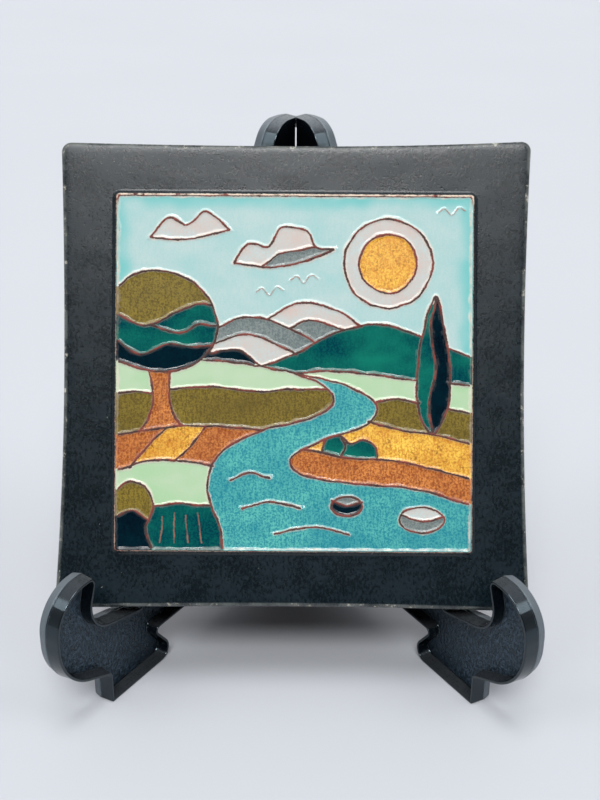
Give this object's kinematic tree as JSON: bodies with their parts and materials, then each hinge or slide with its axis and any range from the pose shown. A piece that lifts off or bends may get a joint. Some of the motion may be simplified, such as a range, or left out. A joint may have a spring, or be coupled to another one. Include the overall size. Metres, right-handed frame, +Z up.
{
  "type": "ceramic tile",
  "caption": "Square ceramic tile with a dark flared border and a raised-line glazed landscape, leaning back in a folding black plastic display stand.",
  "frame": {"origin": "on the supporting surface, under the middle of the whole object's box", "axes": "+Z up, -Y towards the viewer of the picture, +X to that viewer's right"},
  "size_m": [0.2032, 0.1634, 0.2271],
  "materials": {
    "tile_glaze": "satin charcoal border glaze, with a picture of glossy and mottled glazes between bare reddish clay lines",
    "stand_plastic": "black moulded plastic, glossy on its edges and finely grained on its broad faces"
  },
  "bodies": {
    "root": {"tile": "tile_glaze", "stand_left": "stand_plastic", "stand_right": "stand_plastic"}
  },
  "joints": []
}
